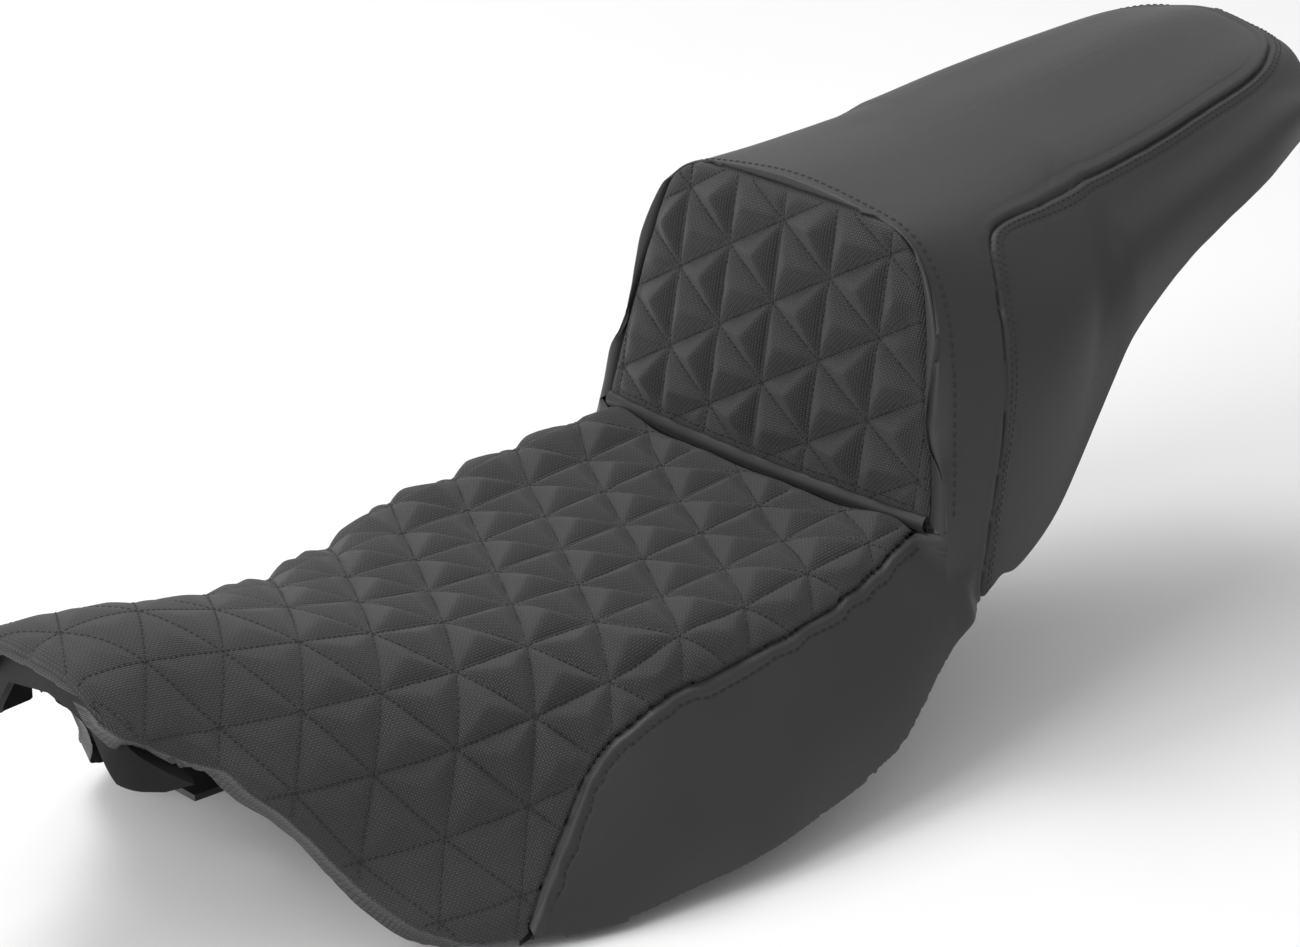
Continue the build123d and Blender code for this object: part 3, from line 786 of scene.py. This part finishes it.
def rider_side():
    """Points of the side below the seat seam, and their distance from it."""
    part = np.linspace(0, 1, SIDE_POINTS)
    rows = [resample(outlines[r], seat_seam[r] + part * (seat_hem[r] - seat_seam[r])) for r in side_rows]
    first = passenger[0]
    run = along(first)
    start = run[np.argmin(np.linalg.norm(first - rows[-1][0], axis=1))]
    rows.append(resample(first, start + part * (run[-1] - start)))
    widths = seat_hem[side_rows] - seat_seam[side_rows]
    slope = np.gradient(seat_seam[side_rows], GRID)
    widths = np.append(widths / np.hypot(1, slope), run[-1] - start)
    return soften(np.array(rows), 10), part[None, :] * widths[:, None], start


side_base, side_gap, seam_end = rider_side()
near_back = smooth(-0.006, FIRST_S, np.append(stations[side_rows], FIRST_S))[:, None]
side_skin = place(side_base, seam_profile(side_gap) * (1 - near_back))
joint_run = np.linspace(seam_end, along(passenger_skin[0])[-1], SIDE_POINTS)
side_skin[-1] = resample(passenger_skin[0], joint_run)


# ---- quilted backrest panel ----

UP = np.array([0, sin(LEAN), cos(LEAN)])
OUT = np.array([0, -cos(LEAN), sin(LEAN)])


def face_hit(x, height):
    """Point of the backrest face at a half-width and a height up the slope, and its panel."""
    start = Vector(np.array([x, 0, 0]) + UP * height + OUT * 0.05)
    hit, _, face, _ = TREE.ray_cast(start, Vector(-OUT), 0.12)
    return (hit, OWNER[face]) if hit is not None else (None, -1)


def back_width(height):
    """Half-width of the quilted panel at a height."""
    inside = [x for x in np.arange(0.04, 0.125, 0.0004) if face_hit(x, height)[1] == BACK]
    return inside[-1]


on_panel = [h for h in np.arange(-0.045, 0.11, 0.0002) if face_hit(0, h)[1] == BACK]
back_v = np.linspace(on_panel[0], on_panel[-1], int((on_panel[-1] - on_panel[0]) / GRID))
back_half = running_mean([back_width(h) for h in back_v], 10)
back_u = np.linspace(-1, 1, BACK_COLUMNS)[None, :] * back_half[:, None]


def back_grid():
    """Points of the backrest panel before padding."""
    rows = [[tuple(face_hit(x * 0.997, h)[0]) for x in line] for h, line in zip(back_v, back_u)]
    return soften(np.array(rows), 6)


back_base = back_grid()


def back_height():
    """Padding of the backrest panel, fading to its border seam."""
    v = np.repeat(back_v[:, None], BACK_COLUMNS, axis=1)
    puff = cell_puff(back_u, v, BACK_ROW, STITCH_LINE_X)
    edge = np.minimum(back_half[:, None] - np.abs(back_u), np.minimum(v - back_v[0], back_v[-1] - v))
    full = smooth(-0.001, BORDER_FADE, edge)
    return PUFF_BACK * full * (puff - 0.18) - SEAM_DEPTH * np.exp(-(edge / SEAM_SPREAD) ** 2)


back_skin = place(back_base, back_height())
# Both quilted panels carry on a little way into the crease at the foot of the backrest.
back_tuck = np.array([back_skin[0] - UP * 0.014 - OUT * 0.0015, back_skin[0]])
seat_tuck = np.array([seat_skin[-1] + step for step in ([0, 0, 0], [0, 0.003, -0.003], [0, 0.006, -0.008])])
back_uv = np.stack([back_u, np.repeat(back_v[:, None], BACK_COLUMNS, axis=1)], axis=-1)
piece("backrest_quilt", [back_skin, back_tuck], "quilted_vinyl",
      ["backrest_quilt_cover", "backrest_quilt_foam"], [back_uv, back_uv[:2]])


def border_fold():
    """Folded edge of the main cover round the backrest panel, from the foot to the top centre."""
    inner = np.concatenate([back_skin[:, -1], back_skin[-1, ::-1][1:BACK_COLUMNS // 2 + 1]])
    first = passenger_skin[0]
    foot = back_skin[0, -1, 2] - 0.009
    outer = first[first[:, 2] > foot][::-1]
    run = along(inner)
    inner = resample(inner, np.linspace(0, run[-1], len(outer)))
    outward = normals_of(passenger_skin)[0][:len(outer)][::-1]
    strip = []
    for w in np.linspace(0, 1, 9):
        rise = BORDER_RISE * np.sin(pi * w) - 0.0016 * np.exp(-(w / 0.12) ** 2)
        middle = inner * (1 - w) + outer * w
        strip.append(middle + (OUT * (1 - w) + outward * w) * rise)
    return np.array(strip)


def main_cover():
    """Both halves of the smooth cover as one piece."""
    grids = [passenger_skin, side_roll, side_skin, hem_roll(side_skin), border_fold()]
    maps = [even_uv(g) for g in grids]
    keep = {0: ~on_side, 1: ~roll_on_side}
    other_half = {k + len(grids): mask[:, ::-1] for k, mask in keep.items()}
    piece("main_cover_skin", grids + [mirror(g) for g in grids], "smooth_vinyl", ["main_cover", "main_liner"],
          maps + [m[:, ::-1] for m in maps], {**keep, **other_half})


main_cover()


# ---- fold along the foot of the backrest ----

def foot_fold():
    """Turned edge where the backrest panel meets the seat."""
    turns = np.linspace(0, pi, 9)
    return np.array([back_skin[0] - UP * (0.0024 + 0.0040 * cos(a)) + OUT * (0.0030 * sin(a) + 0.0008)
                     for a in turns])


fold_rows = foot_fold()
piece("backrest_foot_fold", [fold_rows], "smooth_vinyl", (), [even_uv(fold_rows)])
piece("seat_quilt_tuck", [seat_tuck], "quilted_vinyl", (), [even_uv(seat_tuck)])


# ---------------------------------------------------------------- stitching

def sample(grid, row, column):
    """Grid values at fractional rows and columns."""
    r = np.clip(row, 0, grid.shape[0] - 1.001)
    c = np.clip(column, 0, grid.shape[1] - 1.001)
    i, j = r.astype(int), c.astype(int)
    a, b = (r - i)[:, None], (c - j)[:, None]
    return ((grid[i, j] * (1 - a) + grid[i + 1, j] * a) * (1 - b)
            + (grid[i, j + 1] * (1 - a) + grid[i + 1, j + 1] * a) * b)


RINGS = [(-0.5, 0.35, -0.7), (-0.3, 1.0, 0.1), (0.3, 1.0, 0.1), (0.5, 0.35, -0.7)]   # place, size, lift
SIDES = 5                    # of a thread


def direction_at(values, run, at):
    """Unit vector interpolated along a run."""
    n = np.array([np.interp(at, run, values[:, k]) for k in range(3)])
    return n / np.linalg.norm(n)


def stitch_points(points, normals, mid, length, radius):
    """Rings of points of one stitch, whose ends dip into the cover."""
    run = along(points)
    p = resample(points, [mid])[0]
    n = direction_at(normals, run, mid)
    ahead = resample(points, [min(mid + length / 2, run[-1])])[0]
    behind = resample(points, [max(mid - length / 2, 0)])[0]
    t = ahead - behind
    t /= max(np.linalg.norm(t), 1e-9)
    side = np.cross(n, t)
    spots = []
    for offset, size, lift in RINGS:
        centre = p + t * length * offset + n * radius * lift
        for q in range(SIDES):
            a = 2 * pi * q / SIDES
            spots.append(tuple(centre + (side * cos(a) + n * sin(a)) * radius * size + SHIFT))
    return spots


def stitch_faces(base):
    """Faces of one stitch whose first point has index base."""
    faces = []
    for ring in range(len(RINGS) - 1):
        w = base + ring * SIDES
        for q in range(SIDES):
            r = (q + 1) % SIDES
            faces.append((w + q, w + r, w + SIDES + r, w + SIDES + q))
    last = base + (len(RINGS) - 1) * SIDES
    faces.append(tuple(base + q for q in range(SIDES))[::-1])
    faces.append(tuple(last + q for q in range(SIDES)))
    return faces


def stitch_piece(name, runs, pitch=0.003, length=0.0023, radius=0.00042):
    """Stitches laid along runs of (points, normals), as one piece of thread."""
    verts, faces = [], []
    for points, normals in runs:
        total = along(points)[-1]
        count = int(total / pitch)
        for k in range(count):
            faces += stitch_faces(len(verts))
            verts += stitch_points(points, normals, (k + 0.5) * total / count, length, radius)
    obj = add_mesh(name, verts, faces)
    obj.data.polygons.foreach_set("use_smooth", [True] * len(obj.data.polygons))
    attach(obj, "root")
    obj.data.materials.append(FINISHES["thread"])


def lattice_lines(row, column, u_reach, v_low, v_high):
    """Stitch lines of the padding, each as arrays of u and v."""
    step = 0.001
    count = int(u_reach / column) + 1
    v = np.arange(v_low, v_high, step)
    lines = [(np.full_like(v, i * column), v) for i in range(-count, count + 1)]
    u = np.arange(-u_reach, u_reach, step)
    for lean in (0.5, -0.5):
        for n in range(int(v_low / row) - count, int(v_high / row) + count + 1):
            lines.append((u, (n + lean * u / column) * row))
    return lines


def inside_runs(points, normals, inside):
    """Unbroken stretches of a line that lie inside a panel."""
    runs, start = [], None
    for k, flag in enumerate(list(inside) + [False]):
        if flag and start is None:
            start = k
        if not flag and start is not None:
            if k - start > 6:
                runs.append((points[start:k], normals[start:k]))
            start = None
    return runs


def seat_stitches():
    """Stitch lines of the seat panel, laid on its padded surface."""
    normals = normals_of(seat_skin)
    runs = []
    for u, v in lattice_lines(SEAT_ROW, STITCH_LINE_X, SEAT_REACH, 0.0, 0.42):
        s = SEAT_ROW_START - v
        row = (s - stations[0]) / GRID
        width = np.interp(s, stations, seat_seam)
        column = (u / width + 1) / 2 * (seat_skin.shape[1] - 1)
        inside = (np.abs(u) < width - 0.0015) & (s > stations[0] + 0.001) & (s < stations[-1] - 0.001)
        runs += inside_runs(sample(seat_skin, row, column), sample(normals, row, column), inside)
    return runs


def back_stitches():
    """Stitch lines of the backrest panel, laid on its padded surface."""
    normals = normals_of(back_skin)
    runs = []
    for u, v in lattice_lines(BACK_ROW, STITCH_LINE_X, BACK_REACH, back_v[0], back_v[-1]):
        row = (v - back_v[0]) / (back_v[1] - back_v[0])
        width = np.interp(v, back_v, back_half)
        column = (u / width + 1) / 2 * (BACK_COLUMNS - 1)
        inside = (np.abs(u) < width - 0.001) & (v > back_v[0] + 0.001) & (v < back_v[-1] - 0.001)
        runs += inside_runs(sample(back_skin, row, column), sample(normals, row, column), inside)
    return runs


def mirrored(runs):
    """The same runs on both sides of the centre plane."""
    flip = np.array([-1, 1, 1])
    return runs + [(p * flip, n * flip) for p, n in runs]


def contour(grid, value, level):
    """Line along which a value on a grid has one level, from its lower end, and the normals there."""
    found = []
    both = np.concatenate([grid, normals_of(grid)], axis=2)
    for a, g in ((value, both), (value.T, both.transpose(1, 0, 2))):
        i, j = np.nonzero((a[:-1] - level) * (a[1:] - level) < 0)
        w = ((level - a[i, j]) / (a[i + 1, j] - a[i, j]))[:, None]
        found.append(g[i, j] * (1 - w) + g[i + 1, j] * w)
    points = np.concatenate(found)
    order = [int(np.argmin(points[:, 2]))]
    left = set(range(len(points))) - set(order)
    while left:
        rest = np.array(sorted(left))
        gap = np.linalg.norm(points[rest, :3] - points[order[-1], :3], axis=1)
        if gap.min() > 0.012:
            break
        nearest = int(rest[np.argmin(gap)])
        order.append(nearest)
        left.discard(nearest)
    line = points[order]
    for k in range(3):
        line[:, k] = running_mean(line[:, k], 6)
    return line[:, :3], line[:, 3:]


def seat_seam_run(gap):
    """Line on the rider's side at a distance from the seat seam."""
    normals = normals_of(side_skin)
    rows = np.nonzero(side_gap[:, -1] > gap + 0.012)[0].astype(float)
    rows = rows[rows < len(side_gap) - 3]
    column = gap / side_gap[rows.astype(int), -1] * (SIDE_POINTS - 1)
    return sample(side_skin, rows, column), sample(normals, rows, column)


def border_run(index):
    """Line round the backrest panel on the smooth cover."""
    line = passenger_skin[index]
    top = line[:, 2] > back_skin[0, -1, 2]
    return line[top], normals_of(passenger_skin)[index][top]


def foot_run():
    """Stitch row above the fold at the foot of the backrest."""
    row = int(BORDER_STITCH / GRID)
    return back_skin[row][4:-4], normals_of(back_skin)[row][4:-4]


stitch_piece("quilt_stitching", seat_stitches() + back_stitches())
seams = mirrored([seat_seam_run(SEAM_STITCH), border_run(int(BORDER_STITCH / COVER_PITCH))])
stitch_piece("seam_topstitching", seams + [foot_run()], 0.0046, 0.0034, 0.0005)
panel_runs = mirrored([contour(passenger_skin, side_of, gap) for gap in PANEL_STITCHES])
stitch_piece("side_panel_topstitching", panel_runs, 0.0036, 0.0027, 0.0004)


# ---------------------------------------------------------------- hard parts, and soft parts under the covers

KEPT = {"baseplate": "pan_plastic", "bumpers": "bumper_rubber", "front_tongue": "bracket_steel",
        "rear_tab": "bracket_steel", "staples": "fastener_steel", "tongue_rivets": "fastener_steel",
        "tab_rivets": "fastener_steel", "rivet_washers": "fastener_steel"}


def refinish(node, slot):
    """Give a CAD node that stays as it is its finish."""
    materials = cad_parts[node].data.materials
    if len(materials) == 0:
        materials.append(FINISHES[slot])
    for index in range(len(materials)):
        materials[index] = FINISHES[slot]


for node, slot in KEPT.items():
    refinish(node, slot)

# node: finish, size of the remesh's cells, depth of the ripples
SOFT = {
    "carpet_front": ("felt", 0.0016, 0.0003),
    "carpet_rear": ("felt", 0.0014, 0.0003),
    "tuck_margin_left": ("smooth_vinyl", 0.0011, 0.0004),
    "tuck_margin_right": ("smooth_vinyl", 0.0011, 0.0004),
    "tuck_margin_nose": ("smooth_vinyl", 0.0009, 0.0003),
    "rider_foam": ("seat_foam", 0.0045, 0.0006),
    "passenger_foam": ("seat_foam", 0.0045, 0.0006),
    "rider_gel_pad": ("gel", 0.003, 0.0004),
    "passenger_gel_pad": ("gel", 0.003, 0.0004),
}


def soft_piece(node, slot, voxel, ripple):
    """Soft part made from a CAD solid: rounded by remeshing, then lightly rippled."""
    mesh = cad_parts[node].data.copy()
    obj = bpy.data.objects.new(node + "_soft", mesh)
    bpy.context.scene.collection.objects.link(obj)
    bpy.context.view_layer.objects.active = obj
    remesh = obj.modifiers.new("remesh", "REMESH")
    remesh.mode = "VOXEL"
    remesh.voxel_size = voxel
    relax = obj.modifiers.new("relax", "SMOOTH")
    relax.iterations = 4
    bpy.ops.object.modifier_apply(modifier="remesh")
    bpy.ops.object.modifier_apply(modifier="relax")
    spots = np.zeros(len(obj.data.vertices) * 3)
    normals = np.zeros(len(spots))
    obj.data.vertices.foreach_get("co", spots)
    obj.data.vertices.foreach_get("normal", normals)
    x, y, z = spots.reshape(-1, 3).T
    wave = np.sin(y * 410 + 3 * np.sin(x * 90)) * np.sin(x * 330 + z * 200)
    spots -= normals * np.repeat(0.5 + 0.5 * wave, 3) * ripple
    obj.data.vertices.foreach_set("co", spots)
    obj.data.polygons.foreach_set("use_smooth", [True] * len(obj.data.polygons))
    finish_piece(obj, slot, [node])


for node, (slot, voxel, ripple) in SOFT.items():
    soft_piece(node, slot, voxel, ripple)


# ---------------------------------------------------------------- camera, floor and light

def add_camera():
    """Camera at the seat's left, ahead and above."""
    azimuth, elevation = radians(47.685), radians(21.268)
    data = bpy.data.cameras.new("camera")
    data.sensor_width = 36.0
    data.lens = 118.63
    data.shift_x = -0.0448
    data.shift_y = -0.0362
    data.clip_start = 0.05
    camera = bpy.data.objects.new("camera", data)
    camera.location = FOOT + Vector((1.4158, -1.3225, 0.7312))
    camera.rotation_euler = (pi / 2 - elevation, 0, azimuth)
    bpy.context.scene.collection.objects.link(camera)
    bpy.context.scene.camera = camera


def add_light(name, spot, size, power):
    """Square soft light pointed at the foot of the backrest."""
    data = bpy.data.lights.new(name, "AREA")
    data.size = size
    data.energy = power
    light = bpy.data.objects.new(name, data)
    light.location = Vector(spot)
    light.rotation_euler = (FOOT - Vector(spot)).to_track_quat("-Z", "Y").to_euler()
    bpy.context.scene.collection.objects.link(light)


def add_floor():
    """Pale floor just under the seat."""
    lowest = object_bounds()[0][2]
    bpy.ops.mesh.primitive_plane_add(size=14, location=(0, 0, lowest - 0.0005))
    floor = bpy.context.object
    floor.name = "floor"
    n = Nodes("floor")
    faint = n.noise(n.object_place(), 3.0)
    n.set(Base_Color=n.tint(faint, (0.86, 0.86, 0.86), (0.9, 0.9, 0.9)), Roughness=0.8)
    floor.data.materials.append(n.material)
    floor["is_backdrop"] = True


def add_world():
    """Even pale surroundings."""
    world = bpy.data.worlds.new("world")
    world.use_nodes = True
    background = world.node_tree.nodes["Background"]
    background.inputs["Color"].default_value = (1, 1, 1, 1)
    background.inputs["Strength"].default_value = 0.6
    bpy.context.scene.world = world


add_floor()
add_world()
add_camera()
add_light("key", (-1.2, -0.4, 2.2), 1.2, 32)
add_light("back", (-0.8, 2.2, 1.8), 1.4, 4)
add_light("front", (0.1, -2.6, 1.1), 1.2, 34)
bpy.context.scene.view_settings.view_transform = "Standard"

low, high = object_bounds()
